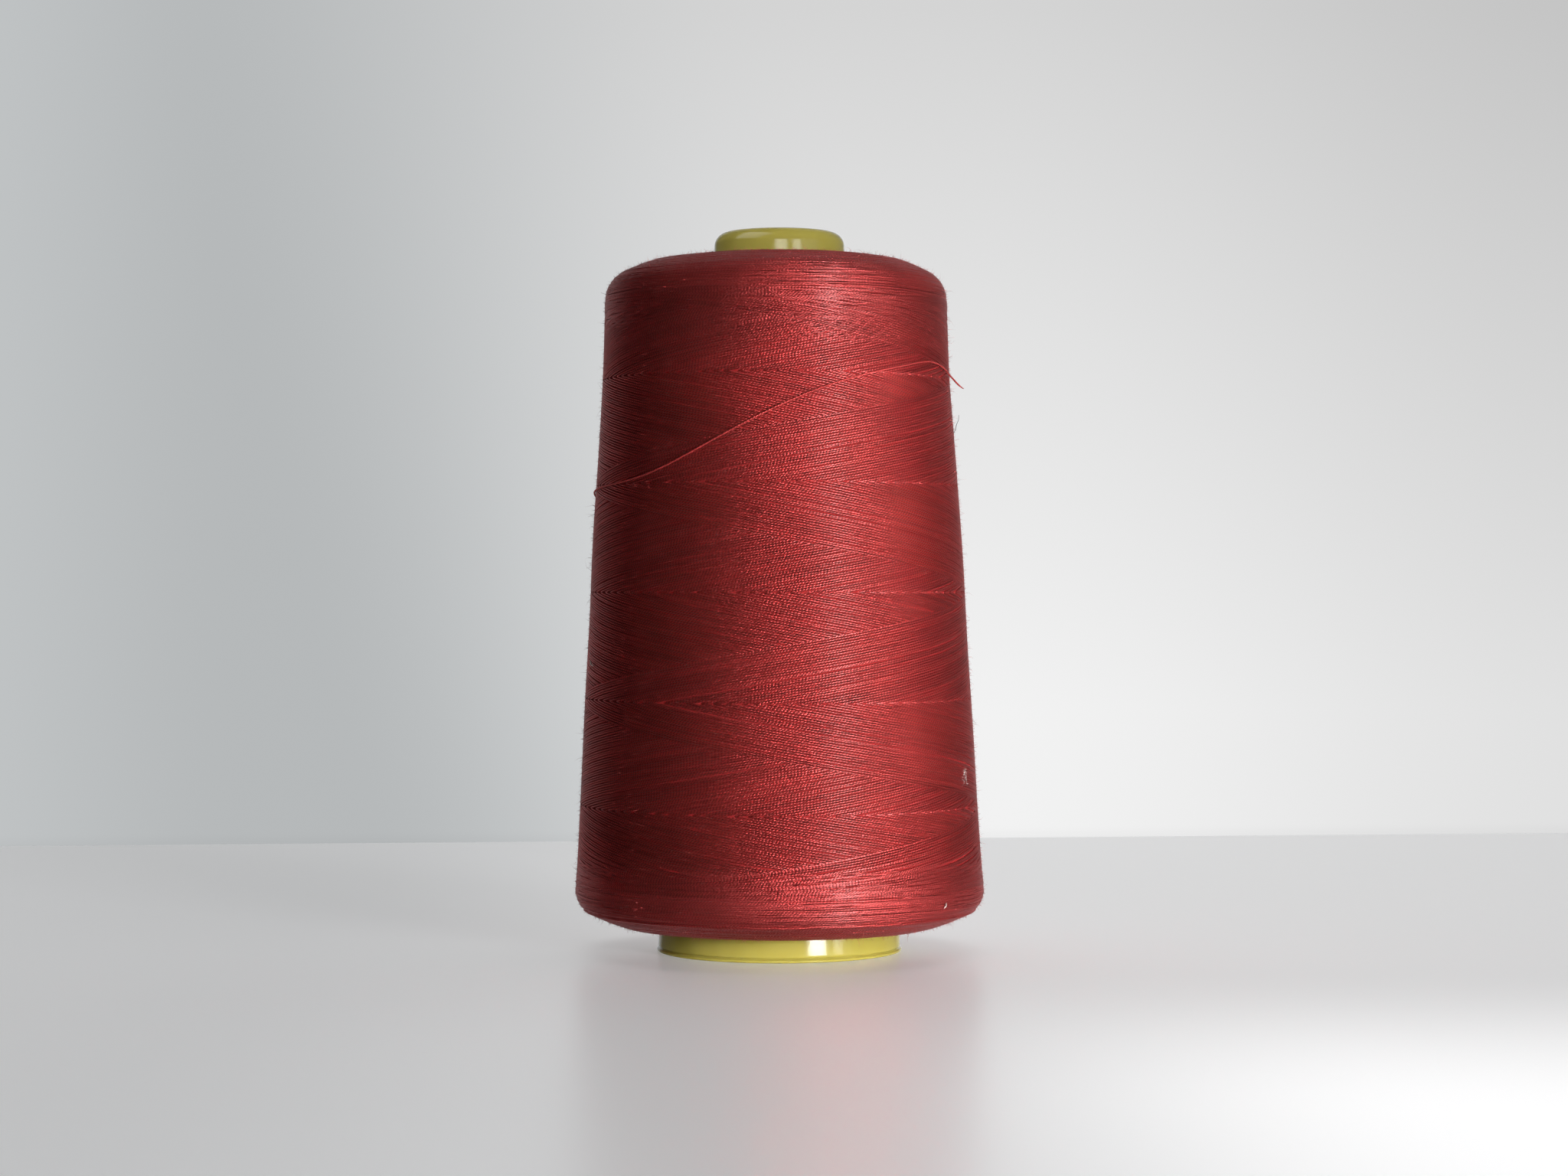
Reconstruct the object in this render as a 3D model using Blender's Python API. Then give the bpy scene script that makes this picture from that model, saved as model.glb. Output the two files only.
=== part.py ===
"""A cone of sewing thread, standing on its base ring, with the free end of the thread across its front.

Three pieces: a hollow moulded plastic cone, the thread wound on it as one solid, and the loose end
of the thread. The axis is +Z, the origin is the centre of the base ring on the table, and -Y is
the front. A bearing is the angle round the axis from the front, positive towards +X.
"""

import math

import bmesh
import bpy
from mathutils import Vector, noise

MM = 0.001
GAP = 0.3 * MM  # clearance between pieces that touch in the real object

# Plastic cone. The taper is the usual one of sewing-thread cones, 4 degrees 20 minutes a side.
CONE_HEIGHT = 115.0 * MM
TAPER = math.tan(math.radians(4 + 20 / 60))
NOSE_RADIUS = 10.5 * MM  # outside, where the nose leaves the thread
NOSE_HEIGHT = 110.0 * MM  # the level of that radius
NOSE_ROUNDING = 2.5 * MM
NOSE_HOLE_RADIUS = 6.8 * MM
NOSE_LIP = 2.0 * MM  # depth of the lip round the nose hole
LIP_EDGE = 0.5 * MM
WALL = 1.5 * MM
RING_RADIUS = 19.4 * MM
RING_HEIGHT = 6.1 * MM
RING_EDGE = 0.35 * MM
FOOT_RADIUS = 19.6 * MM  # the fine bead that runs round the foot of the ring
FOOT_HEIGHT = 0.5 * MM
FOOT_GROOVE = 0.25 * MM
CONE_STEPS = 72

# Wound thread: flank sections from the bottom up, (height, radius).
FLANK = (
    (9.9 * MM, 32.5 * MM),
    (13.5 * MM, 32.15 * MM),
    (22.0 * MM, 31.65 * MM),
    (36.0 * MM, 30.85 * MM),
    (50.0 * MM, 30.1 * MM),
    (64.0 * MM, 29.4 * MM),
    (78.0 * MM, 28.45 * MM),
    (90.0 * MM, 27.6 * MM),
    (97.0 * MM, 27.3 * MM),
    (104.05 * MM, 27.1 * MM),
)
TOP_SHOULDER = 4.6 * MM  # radius of the rounded shoulder
TOP_SWEEP = math.radians(64)  # the arc ends where the sloping crown starts
TOP_FACE = ((20.4 * MM, 109.9 * MM), (16.5 * MM, 110.3 * MM))  # radius and height, inwards
TOP_INNER_HEIGHT = 110.3 * MM
BASE_SHOULDER = 4.0 * MM
BASE_SWEEP = math.radians(58)
BASE_FACE = ((22.0 * MM, 5.45 * MM), (25.0 * MM, 4.4 * MM))  # the dish under the thread, outwards
BASE_INNER_HEIGHT = 6.7 * MM
SHOULDER_STEPS = 5
THREAD_STEPS = 88
TOP_RUNOUT = -0.55 * MM  # how far the top of the winding is off the axis, along X
LUMPS = 0.12 * MM  # unevenness of the flank

# Loose end of the thread: (bearing in degrees, height, lift of its centre above the wound solid).
LOOSE_DIAMETER = 0.32 * MM
LOOSE_LIE = GAP + LOOSE_DIAMETER / 2 + 0.04 * MM
LOOSE_ROUTE = (
    (-124, 70.8 * MM, 0.0),
    (-112, 71.7 * MM, 0.0),
    (-100, 72.5 * MM, 0.0),
    (-86, 73.3 * MM, 0.0),
    (-72, 73.9 * MM, 0.0),
    (-58, 74.4 * MM, 0.0),
    (-46, 75.3 * MM, 0.03 * MM),
    (-36, 76.8 * MM, 0.08 * MM),
    (-26, 79.0 * MM, 0.12 * MM),
    (-15, 81.8 * MM, 0.14 * MM),
    (-4, 84.6 * MM, 0.14 * MM),
    (7, 87.1 * MM, 0.14 * MM),
    (18, 89.2 * MM, 0.12 * MM),
    (30, 90.9 * MM, 0.08 * MM),
    (46, 92.5 * MM, 0.04 * MM),
    (57, 93.35 * MM, 0.0),
    (66, 93.15 * MM, 0.0),
    (73, 92.5 * MM, 0.0),
    (79, 91.8 * MM, 0.1 * MM),
    (84, 91.2 * MM, 0.5 * MM),
    (88, 90.7 * MM, 1.0 * MM),
    (91.5, 90.35 * MM, 1.6 * MM),
    (94, 90.15 * MM, 2.15 * MM),
)
LOOSE_POINTS = 80

YELLOW_GREEN = (0.50, 0.47, 0.06, 1.0)
RED = (0.42, 0.020, 0.026, 1.0)


def clear_scene():
    for obj in list(bpy.data.objects):
        bpy.data.objects.remove(obj)


def material(name, color, roughness):
    made = bpy.data.materials.new(name)
    made.use_nodes = True
    shader = made.node_tree.nodes["Principled BSDF"]
    shader.inputs["Base Color"].default_value = color
    shader.inputs["Roughness"].default_value = roughness
    shader.inputs["Metallic"].default_value = 0.0
    return made


def arc(centre, radius, start, end, steps):
    """Points of a profile arc about centre, (r, z); the angles are from level, upwards."""
    turns = [start + (end - start) * i / steps for i in range(steps + 1)]
    return [(centre[0] + radius * math.cos(t), centre[1] + radius * math.sin(t)) for t in turns]


def turned(name, profile, steps, finish, shape=None):
    """A solid turned about +Z from a closed profile of (r, z) points, listed outside first, upwards.

    shape, if given, moves each point: it takes the bearing and the profile point's own place.
    """
    mesh = bmesh.new()
    rings = []
    for k in range(steps):
        bearing = 2 * math.pi * k / steps
        ring = []
        for r, z in profile:
            place = Vector((r * math.sin(bearing), -r * math.cos(bearing), z))
            ring.append(mesh.verts.new(shape(place, bearing, r, z) if shape else place))
        rings.append(ring)
    for k, ring in enumerate(rings):
        after = rings[(k + 1) % steps]
        for i in range(len(ring)):
            j = (i + 1) % len(ring)
            mesh.faces.new((ring[i], after[i], after[j], ring[j]))
    data = bpy.data.meshes.new(name)
    mesh.to_mesh(data)
    mesh.free()
    data.shade_smooth()
    data.set_sharp_from_angle(angle=math.radians(35))
    data.materials.append(finish)
    obj = bpy.data.objects.new(name, data)
    bpy.context.scene.collection.objects.link(obj)
    return obj


def cone_radius(height):
    """Outer radius of the plastic cone's tapered wall."""
    return NOSE_RADIUS + (NOSE_HEIGHT - height) * TAPER


def cone_profile():
    top = CONE_HEIGHT - NOSE_ROUNDING
    ring_step = RING_HEIGHT + GAP
    outside = [
        (FOOT_RADIUS, 0.15 * MM),
        (FOOT_RADIUS, FOOT_HEIGHT),
        (RING_RADIUS - FOOT_GROOVE, FOOT_HEIGHT + FOOT_GROOVE),
        (RING_RADIUS, FOOT_HEIGHT + 2 * FOOT_GROOVE),
        (RING_RADIUS, RING_HEIGHT - RING_EDGE),
        (RING_RADIUS - RING_EDGE, RING_HEIGHT),
        (cone_radius(ring_step) + RING_EDGE, RING_HEIGHT),
        (cone_radius(ring_step), ring_step),
        (NOSE_RADIUS, NOSE_HEIGHT),
    ]
    crown = arc((NOSE_RADIUS - NOSE_ROUNDING - 0.1 * MM, top), NOSE_ROUNDING, 0, math.pi / 2, 6)
    hole = arc((NOSE_HOLE_RADIUS + LIP_EDGE, CONE_HEIGHT - LIP_EDGE), LIP_EDGE, math.pi / 2, math.pi, 3)
    inside = [
        (NOSE_HOLE_RADIUS, CONE_HEIGHT - NOSE_LIP),
        (cone_radius(CONE_HEIGHT) - WALL, CONE_HEIGHT - NOSE_LIP - 0.6 * MM),
        (cone_radius(0) - WALL, 0.3 * MM),
        (cone_radius(0) - WALL + 0.3 * MM, 0),
        (FOOT_RADIUS - 0.15 * MM, 0),
    ]
    return outside + crown + hole + inside


def flank_radius(height):
    """Radius of the wound solid's flank, read between the sections."""
    lower = max(i for i, row in enumerate(FLANK) if row[0] <= max(height, FLANK[0][0]))
    lower = min(lower, len(FLANK) - 2)
    (z0, r0), (z1, r1) = FLANK[lower], FLANK[lower + 1]
    return r0 + (r1 - r0) * (min(max(height, z0), z1) - z0) / (z1 - z0)


def winding_profile():
    base_z, base_r = FLANK[0]
    top_z, top_r = FLANK[-1]
    base = arc((base_r - BASE_SHOULDER, base_z), BASE_SHOULDER, -BASE_SWEEP, 0, SHOULDER_STEPS)
    flank = [(radius, height) for height, radius in FLANK[1:-1]]
    top = arc((top_r - TOP_SHOULDER, top_z), TOP_SHOULDER, 0, TOP_SWEEP, SHOULDER_STEPS)
    bore_top = (cone_radius(TOP_INNER_HEIGHT) + GAP, TOP_INNER_HEIGHT)
    bore_base = (cone_radius(BASE_INNER_HEIGHT) + GAP, BASE_INNER_HEIGHT)
    return base + flank + top + [*TOP_FACE, bore_top, bore_base, *BASE_FACE]


def runout(height):
    """How far the winding is off the axis at a height, along X."""
    base, top = FLANK[0][0], FLANK[-1][0]
    return TOP_RUNOUT * min(max((height - base) / (top - base), 0), 1)


def uneven(place, bearing, r, z):
    """Moves a point of the winding as real thread builds up: slightly lumpy and off the axis."""
    outer = min(max((r - 14 * MM) / (10 * MM), 0), 1)
    outward = Vector((math.sin(bearing), -math.cos(bearing), 0))
    lump = LUMPS * noise.noise(place * 70)
    return place + outer * (outward * lump + Vector((runout(z), 0, 0)))


def smooth_route(rows, count):
    """Points read from a smooth curve through the rows, each row with any number of columns."""
    points = []
    spans = len(rows) - 1
    for i in range(count):
        at = spans * i / (count - 1)
        k = min(int(at), spans - 1)
        t = at - k
        a, b, c, d = (rows[min(max(k + n, 0), spans)] for n in (-1, 0, 1, 2))
        points.append([
            0.5 * (2 * q + (s - p) * t + (2 * p - 5 * q + 4 * s - u) * t * t
                   + (3 * q - p - 3 * s + u) * t * t * t)
            for p, q, s, u in zip(a, b, c, d)
        ])
    return points


def loose_thread(finish):
    curve = bpy.data.curves.new("loose_thread", "CURVE")
    curve.dimensions = "3D"
    curve.bevel_depth = LOOSE_DIAMETER / 2
    curve.bevel_resolution = 2
    curve.use_fill_caps = True
    spline = curve.splines.new("POLY")
    spline.points.add(LOOSE_POINTS - 1)
    for point, (bearing, height, lift) in zip(spline.points, smooth_route(LOOSE_ROUTE, LOOSE_POINTS)):
        turn = math.radians(bearing)
        radius = flank_radius(height) + LOOSE_LIE + lift
        point.co = (radius * math.sin(turn) + runout(height), -radius * math.cos(turn), height, 1)
    curve.materials.append(finish)
    obj = bpy.data.objects.new("loose_thread", curve)
    bpy.context.scene.collection.objects.link(obj)
    return obj


def main():
    clear_scene()
    plastic = material("plastic", YELLOW_GREEN, 0.3)
    thread = material("thread", RED, 0.65)
    turned("plastic_cone", cone_profile(), CONE_STEPS, plastic)
    turned("wound_thread", winding_profile(), THREAD_STEPS, thread, uneven)
    loose_thread(thread)


main()
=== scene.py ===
"""The looks of a cone of sewing thread: red spun thread, cross-wound on a yellow-green plastic cone.

Every thread of the outermost cover is real geometry, laid out as a winder lays it. Lengths are in
metres. A bearing is the angle round the axis, in turns from the front (-Y), positive towards +X.
"""

import math
from types import SimpleNamespace

import bpy
import numpy as np
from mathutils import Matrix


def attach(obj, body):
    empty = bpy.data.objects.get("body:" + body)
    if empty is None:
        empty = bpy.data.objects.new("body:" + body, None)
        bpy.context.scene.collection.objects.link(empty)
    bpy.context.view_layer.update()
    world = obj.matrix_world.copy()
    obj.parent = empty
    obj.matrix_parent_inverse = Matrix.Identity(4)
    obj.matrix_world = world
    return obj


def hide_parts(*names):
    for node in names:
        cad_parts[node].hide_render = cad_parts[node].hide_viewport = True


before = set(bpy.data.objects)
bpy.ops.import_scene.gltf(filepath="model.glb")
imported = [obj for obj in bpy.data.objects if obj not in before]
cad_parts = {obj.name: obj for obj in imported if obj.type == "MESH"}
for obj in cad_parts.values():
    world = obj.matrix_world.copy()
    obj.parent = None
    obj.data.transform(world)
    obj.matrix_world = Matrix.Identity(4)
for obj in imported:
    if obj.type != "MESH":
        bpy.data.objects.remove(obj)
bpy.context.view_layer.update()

MM = 0.001
TAU = 2 * math.pi
rng = np.random.default_rng(40)

# ---------------------------------------------------------------- winding, as the winder lays it
TURN_RISE = 33.8 * MM  # climb in one turn
STROKES = 89  # double strokes, up and down again, in one full cover
TURNS_A_STROKE = 3
RISING_WRAP = 0.55  # bearing, at height 0, of the rising thread laid last
FALLING_WRAP = 0.945  # the same of the falling thread
BAND = TURN_RISE / 2  # level boundaries between rising and falling threads are this far apart
FIRST_BAND = BAND * (FALLING_WRAP - RISING_WRAP)
TOP_TURN = FIRST_BAND + 2 * TURNS_A_STROKE * BAND  # where the strokes would turn if they were sharp
BASE_TURN = TOP_TURN - TURN_RISE * (TURNS_A_STROKE - 0.5 / STROKES)
TURN_ROUNDING = (8 * MM, 11 * MM)  # how long before its end a stroke starts to bend over

THREAD_WIDTH = 0.365 * MM  # threads are pressed a little flat against one another
THREAD_HEIGHT = 0.30 * MM
CREST_LIFT = 0.13 * MM  # of a covering thread's centre above the wound solid
CORE_LIFT = 0.05 * MM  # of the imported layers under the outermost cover
DIVE = 0.36 * MM  # how deep a thread's end goes where another covers it
DIVE_LENGTH = 1.5 * MM
SEGMENT = 1.7 * MM
END_SEGMENT = 2.3 * MM  # of the turns on the end faces
SHORTEST_RUN = 1.2 * MM  # a shorter stretch of a stroke is left out
UNEVEN_REACH = 12 * MM  # this near a stroke's end, threads lie less evenly
LUMP = 0.035 * MM
PLY_PITCH = 0.52 * MM  # from one ply's crest to the next along a thread

SPECKS = 110  # of pale specks, all over the flank
USUAL_RADIUS = 29 * MM  # of the flank, for the spread of the lint

NOSE_RADIUS = 10.5  # of the plastic cone, in millimetres
NOSE_ROUNDING = 2.2
CONE_STEPS = 240

# The loose end: (bearing in degrees, height, lift of its centre above the wound solid).
LOOSE_DIAMETER = 0.32 * MM
LOOSE_LIE = 0.5 * MM
LOOSE_ROUTE = (
    (-124, 70.8 * MM, 0.0),
    (-112, 71.7 * MM, 0.0),
    (-100, 72.5 * MM, 0.0),
    (-86, 73.3 * MM, 0.0),
    (-72, 73.9 * MM, 0.0),
    (-58, 74.4 * MM, 0.0),
    (-46, 75.3 * MM, 0.03 * MM),
    (-36, 76.8 * MM, 0.08 * MM),
    (-26, 79.0 * MM, 0.12 * MM),
    (-15, 81.8 * MM, 0.14 * MM),
    (-4, 84.6 * MM, 0.14 * MM),
    (7, 87.1 * MM, 0.14 * MM),
    (18, 89.2 * MM, 0.12 * MM),
    (30, 90.9 * MM, 0.08 * MM),
    (46, 92.5 * MM, 0.04 * MM),
    (57, 93.35 * MM, 0.0),
    (66, 93.15 * MM, 0.0),
    (73, 92.5 * MM, 0.0),
    (79, 91.8 * MM, 0.1 * MM),
    (84, 91.2 * MM, 0.5 * MM),
    (88, 90.7 * MM, 1.0 * MM),
    (91.5, 90.35 * MM, 1.6 * MM),
    (94, 90.15 * MM, 2.15 * MM),
)
LOOSE_POINTS = 80
LOOSE_STEP = 0.09 * MM
LOOSE_SMOOTHING = 12  # steps to each side
LOOSE_TAPER = 3 * MM
PLY_RADIUS = 0.33 * LOOSE_DIAMETER

# A stray fibre on the right side: (bearing in degrees, height, lift).
STRAY_ROUTE = (
    (86, 82.6 * MM, 0.1 * MM),
    (87, 83.3 * MM, 0.55 * MM),
    (88, 84.1 * MM, 0.8 * MM),
    (89, 84.9 * MM, 1.2 * MM),
    (90, 85.7 * MM, 1.35 * MM),
)


# ---------------------------------------------------------------- shapes
def smooth_route(rows, count):
    """Points read from a smooth curve through the rows, each row with any number of columns."""
    rows = np.asarray(rows, float)
    at = np.linspace(0, len(rows) - 1, count)
    k = np.minimum(at.astype(int), len(rows) - 2)
    t = (at - k)[:, None]
    p, q, s, u = (rows[np.clip(k + n, 0, len(rows) - 1)] for n in (-1, 0, 1, 2))
    return 0.5 * (
        2 * q + (s - p) * t + (2 * p - 5 * q + 4 * s - u) * t**2 + (3 * q - p - 3 * s + u) * t**3
    )


def winding_outline():
    """The wound solid's outline, from the bore's foot round the flank to the bore's top.

    along is the distance along it; radius, height, the outward normal and the axis's offset go with it.
    """
    place = np.array([v.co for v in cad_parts["wound_thread"].data.vertices])
    level = np.round(place[:, 2] / (0.02 * MM)).astype(int)
    rows = []
    for one in np.unique(level):
        ring = place[level == one]
        reach = np.hypot(ring[:, 0], ring[:, 1])
        outer = reach > reach.max() - 3 * MM
        for part in (ring[outer], ring[~outer]):  # a flat end face has two rings at one level
            if len(part):
                axis = (part[:, 0].min() + part[:, 0].max()) / 2
                rows.append((np.hypot(part[:, 0] - axis, part[:, 1]).mean(), part[:, 2].mean(), axis))
    rows = np.array(rows)
    middle = rows[:, 1].mean()
    rows = rows[np.argsort(np.arctan2(rows[:, 1] - middle, rows[:, 0] - 8 * MM))]
    fine = smooth_route(rows, 900)
    step = np.gradient(fine[:, :2], axis=0)
    length = np.hypot(*step.T)
    return SimpleNamespace(
        along=np.concatenate([[0], np.cumsum(np.hypot(*np.diff(fine[:, :2], axis=0).T))]),
        radius=fine[:, 0],
        height=fine[:, 1],
        axis=fine[:, 2],
        normal=np.stack([step[:, 1] / length, -step[:, 0] / length], 1),
    )


OUTLINE = winding_outline()
ON_FLANK = OUTLINE.normal[:, 0] > 0.5
LUMPS = [(n, rng.uniform(20, 60) * MM, rng.uniform(0, TAU)) for n in (1, 2, 3, 4, 5, 7)]


def along_at(height):
    """Distance along the outline of a height on the flank or the sides of the shoulders."""
    return np.interp(height, OUTLINE.height[ON_FLANK], OUTLINE.along[ON_FLANK])


def on_winding(bearing, along, lift):
    """Points above the wound surface and the surface's normals there, for arrays of places."""
    radius, height, axis, out, up = (
        np.interp(along, OUTLINE.along, column)
        for column in (OUTLINE.radius, OUTLINE.height, OUTLINE.axis, *OUTLINE.normal.T)
    )
    turn = TAU * bearing
    lump = sum(np.sin(n * turn + TAU * height / wave + phase) for n, wave, phase in LUMPS)
    lift = lift + LUMP * lump / 2
    radius = radius + out * lift
    points = np.stack([radius * np.sin(turn) + axis, -radius * np.cos(turn), height + up * lift], 1)
    normals = np.stack([out * np.sin(turn), -out * np.cos(turn), up], 1)
    return points, normals


def wander(places, reach):
    """Smooth wandering along a thread, different for each call; places are distances along it."""
    waves = ((47 * MM, 0.45), (19 * MM, 0.35), (8.5 * MM, 0.2))
    return reach * sum(
        share * np.sin(TAU * places / (wave * rng.uniform(0.8, 1.25)) + rng.uniform(0, TAU))
        for wave, share in waves
    )


def mesh_object(name, points, faces, material):
    """A smooth-shaded piece from numpy points and a list of faces."""
    mesh = bpy.data.meshes.new(name)
    mesh.from_pydata(points.tolist(), [], faces)
    mesh.shade_smooth()
    mesh.materials.append(material)
    piece = bpy.data.objects.new(name, mesh)
    bpy.context.scene.collection.objects.link(piece)
    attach(piece, "root")
    return piece


def ring_faces(steps, rows):
    """Faces of a closed solid turned about the axis: steps closed profiles of rows points each."""
    faces = []
    for step in range(steps):
        here, there = step * rows, (step + 1) % steps * rows
        for i in range(rows):
            j = (i + 1) % rows
            faces.append((here + i, there + i, there + j, here + j))
    return faces


def unit(vectors):
    return vectors / np.maximum(np.linalg.norm(vectors, axis=1, keepdims=True), 1e-12)


# ---------------------------------------------------------------- strands: many threads in one mesh
class Strands:
    """Threads that lie on the winding, gathered into one mesh, each a closed D-shaped tube."""

    BELLY = math.radians(108)  # the round side goes this far down each side of a thread
    BAKE_ROWS = 190  # rows of the bake map, each holding a stretch of thread
    ROUND_SHARE = 0.86  # of a row's height for the round side; the flat side has the rest

    def __init__(self, facets=4):
        self.facets = facets  # on the round side
        self.runs = []

    def add(self, bearing, along, lift):
        """One thread through these places."""
        points, normals = on_winding(bearing, along, lift)
        steps = np.linalg.norm(np.diff(points, axis=0), axis=1)
        places = np.concatenate([[0], np.cumsum(steps)])
        tangent = unit(np.gradient(points, axis=0))
        side = unit(np.cross(tangent, normals))
        up = np.cross(side, tangent)
        size = (1 + wander(places, 0.07))[:, None] / 2
        self.runs.append(SimpleNamespace(
            line=points,
            side=side * THREAD_WIDTH * size,
            up=up * THREAD_HEIGHT * size,
            places=places + rng.uniform(0, PLY_PITCH),
            tone=rng.random(),
        ))

    def make(self, name, material):
        angles = np.linspace(-self.BELLY, self.BELLY, self.facets + 1)
        round_count = self.facets + 1
        points = np.concatenate([
            (
                run.line[:, None]
                + run.side[:, None] * np.sin(angles)[None, :, None]
                + run.up[:, None] * np.cos(angles)[None, :, None]
            ).reshape(-1, 3)
            for run in self.runs
        ])
        counts = np.array([len(run.line) for run in self.runs])
        firsts = np.concatenate([[0], np.cumsum(counts)[:-1]])
        ring = np.concatenate([first + np.arange(count - 1) for first, count in zip(firsts, counts)])
        corner = np.arange(round_count)
        after = (corner + 1) % round_count
        quads = np.stack([
            ring[:, None] * round_count + corner,
            ring[:, None] * round_count + after,
            (ring[:, None] + 1) * round_count + after,
            (ring[:, None] + 1) * round_count + corner,
        ], 2).reshape(-1, 4)
        caps = []
        for first, count in zip(firsts, counts):
            start, end = first * round_count, (first + count - 1) * round_count
            caps += [list(range(start, start + round_count))[::-1], list(range(end, end + round_count))]
        piece = mesh_object(name, points, quads.tolist() + caps, material)
        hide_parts("wound_thread")
        self.map(piece.data, ring, len(caps))

    def map(self, mesh, ring, cap_count):
        """The maps: "strand", in millimetres along and shares across, and "OFBake", threads in rows."""
        round_count = self.facets + 1
        places = np.concatenate([run.places for run in self.runs]) / MM
        tones = np.concatenate([np.full(len(run.line), run.tone) for run in self.runs])
        share = np.arange(self.facets + 1) / self.facets
        left, right = np.append(share[:-1], 1.0), np.append(share[1:], 0.0)
        here, there = places[ring][:, None], places[ring + 1][:, None]
        wide = np.ones(round_count)
        strand = np.stack([
            np.stack([here * wide, left + 0 * here], 2),
            np.stack([here * wide, right + 0 * here], 2),
            np.stack([there * wide, right + 0 * here], 2),
            np.stack([there * wide, left + 0 * here], 2),
        ], 2).reshape(-1, 2)
        spans = places[ring + 1] - places[ring]
        row_length = spans.sum() / self.BAKE_ROWS + spans.max()
        start = np.concatenate([[0], np.cumsum(spans)[:-1]])
        usable = row_length - spans.max()
        row = np.floor(start / usable)
        u0 = (start - row * usable) / row_length
        u1 = u0 + spans / row_length
        low = np.append(share[:-1] * self.ROUND_SHARE, self.ROUND_SHARE)
        high = np.append(share[1:] * self.ROUND_SHARE, 0.98)
        v0 = (row[:, None] + 0.04 + 0.92 * low) / (self.BAKE_ROWS + 1)
        v1 = (row[:, None] + 0.04 + 0.92 * high) / (self.BAKE_ROWS + 1)
        bake = np.stack([
            np.stack([u0[:, None] * wide, v0], 2),
            np.stack([u0[:, None] * wide, v1], 2),
            np.stack([u1[:, None] * wide, v1], 2),
            np.stack([u1[:, None] * wide, v0], 2),
        ], 2).reshape(-1, 2)
        spare = np.zeros((cap_count * round_count, 2))
        for name, values in (("strand", strand), ("OFBake", bake)):
            layer = mesh.uv_layers.new(name=name)
            layer.uv.foreach_set("vector", np.concatenate([values, spare]).astype(np.float32).ravel())
        tone = mesh.attributes.new("tone", "FLOAT", "POINT")
        tone.data.foreach_set("value", np.repeat(tones, round_count).astype(np.float32))


# ---------------------------------------------------------------- the turns of the winding
def stroke_height(travel, rounding_top, rounding_base):
    """Height of a thread that would be at travel if strokes turned sharply: bent over at both ends."""
    short = np.maximum(TOP_TURN - travel, 0)
    bent = np.where(short < rounding_top, rounding_top / 2 + short**2 / (2 * rounding_top), short)
    height = TOP_TURN - bent
    short = np.maximum(travel - BASE_TURN, 0)
    bent = np.where(short < rounding_base, rounding_base / 2 + short**2 / (2 * rounding_base), short)
    return np.where(travel < TOP_TURN / 2, BASE_TURN + bent, height)


def turn_length():
    """Length of thread in one metre of climb."""
    radius = OUTLINE.radius[ON_FLANK].mean()
    return math.hypot(TURN_RISE, TAU * radius) / TURN_RISE


def dive(places, length):
    """How far a thread is below the crest: its ends go down under the threads that cover them."""
    inside = np.minimum(places, length - places)
    t = np.clip((inside + 0.6 * DIVE_LENGTH) / DIVE_LENGTH, 0, 1)
    return DIVE * (1 - t * t * (3 - 2 * t))


def visible_run(strands, bearing, sign, start, end, roundings):
    """Adds the stretch of one stroke that shows, from start to end in travel.

    bearing is the stroke's own at travel 0; sign is 1 where it rises and -1 where it falls. A start
    past the end of the stroke lies on the stroke before it, folded back.
    """
    length = abs(end - start) * turn_length()
    if length < SHORTEST_RUN:
        return
    edge = 0.65 * DIVE_LENGTH * np.array([-1, -0.3, 0.2])
    inset = 0.4 * DIVE_LENGTH
    inner = np.linspace(inset, length - inset, max(2, round(length / SEGMENT)))
    places = np.concatenate([edge, inner, length - edge[::-1]])
    travel = start + sign * places / turn_length()
    folded = np.where(travel > TOP_TURN, 2 * TOP_TURN - travel, travel)
    folded = np.where(travel < BASE_TURN, 2 * BASE_TURN - travel, folded)
    height = stroke_height(folded, *roundings)
    bearings = bearing + sign * travel / TURN_RISE
    even = np.clip(np.minimum(TOP_TURN - folded, folded - BASE_TURN) / UNEVEN_REACH, 0, 1)
    along = along_at(height) + wander(places, 0.035 * MM) + (1 - even) * wander(places, 0.14 * MM)
    lift = CREST_LIFT - dive(places, length)
    lift = lift + (1 - even) * rng.uniform(-0.03, 0.06) * MM
    strands.add(bearings, along, lift)


def wind_flank(groups, material):
    """The outermost cover: each stroke shows from a level boundary to a wrap line."""
    rising = [Strands() for _ in range(groups)]
    falling = [Strands() for _ in range(groups)]
    top_rounding = rng.uniform(*TURN_ROUNDING, STROKES + 1)
    base_rounding = rng.uniform(*TURN_ROUNDING, STROKES + 1)
    bands = FIRST_BAND + BAND * np.arange(2 * TURNS_A_STROKE + 1)
    for stroke in range(STROKES):
        age = (stroke + 1) / STROKES
        group = stroke * groups // STROKES
        slip = rng.normal(0, 0.09) / STROKES
        roundings = (top_rounding[stroke], base_rounding[stroke])
        for low, high in zip(bands[:-1], bands[1:]):
            start, end = low, min(low + BAND * age, TOP_TURN)
            if low < BASE_TURN:
                start = BASE_TURN - rng.uniform(0.4, 4) * MM
            visible_run(rising[group], RISING_WRAP - age + slip, 1, start, end, roundings)
            start, end = high, max(high - BAND * age, BASE_TURN)
            if high >= TOP_TURN:
                start = TOP_TURN + rng.uniform(0.4, 4) * MM
            visible_run(falling[group], FALLING_WRAP - age + slip, -1, start, end, roundings)
    for n, (up, down) in enumerate(zip(rising, falling), 1):
        up.make(f"rising_turns_{n}", material)
        down.make(f"falling_turns_{n}", material)


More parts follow.
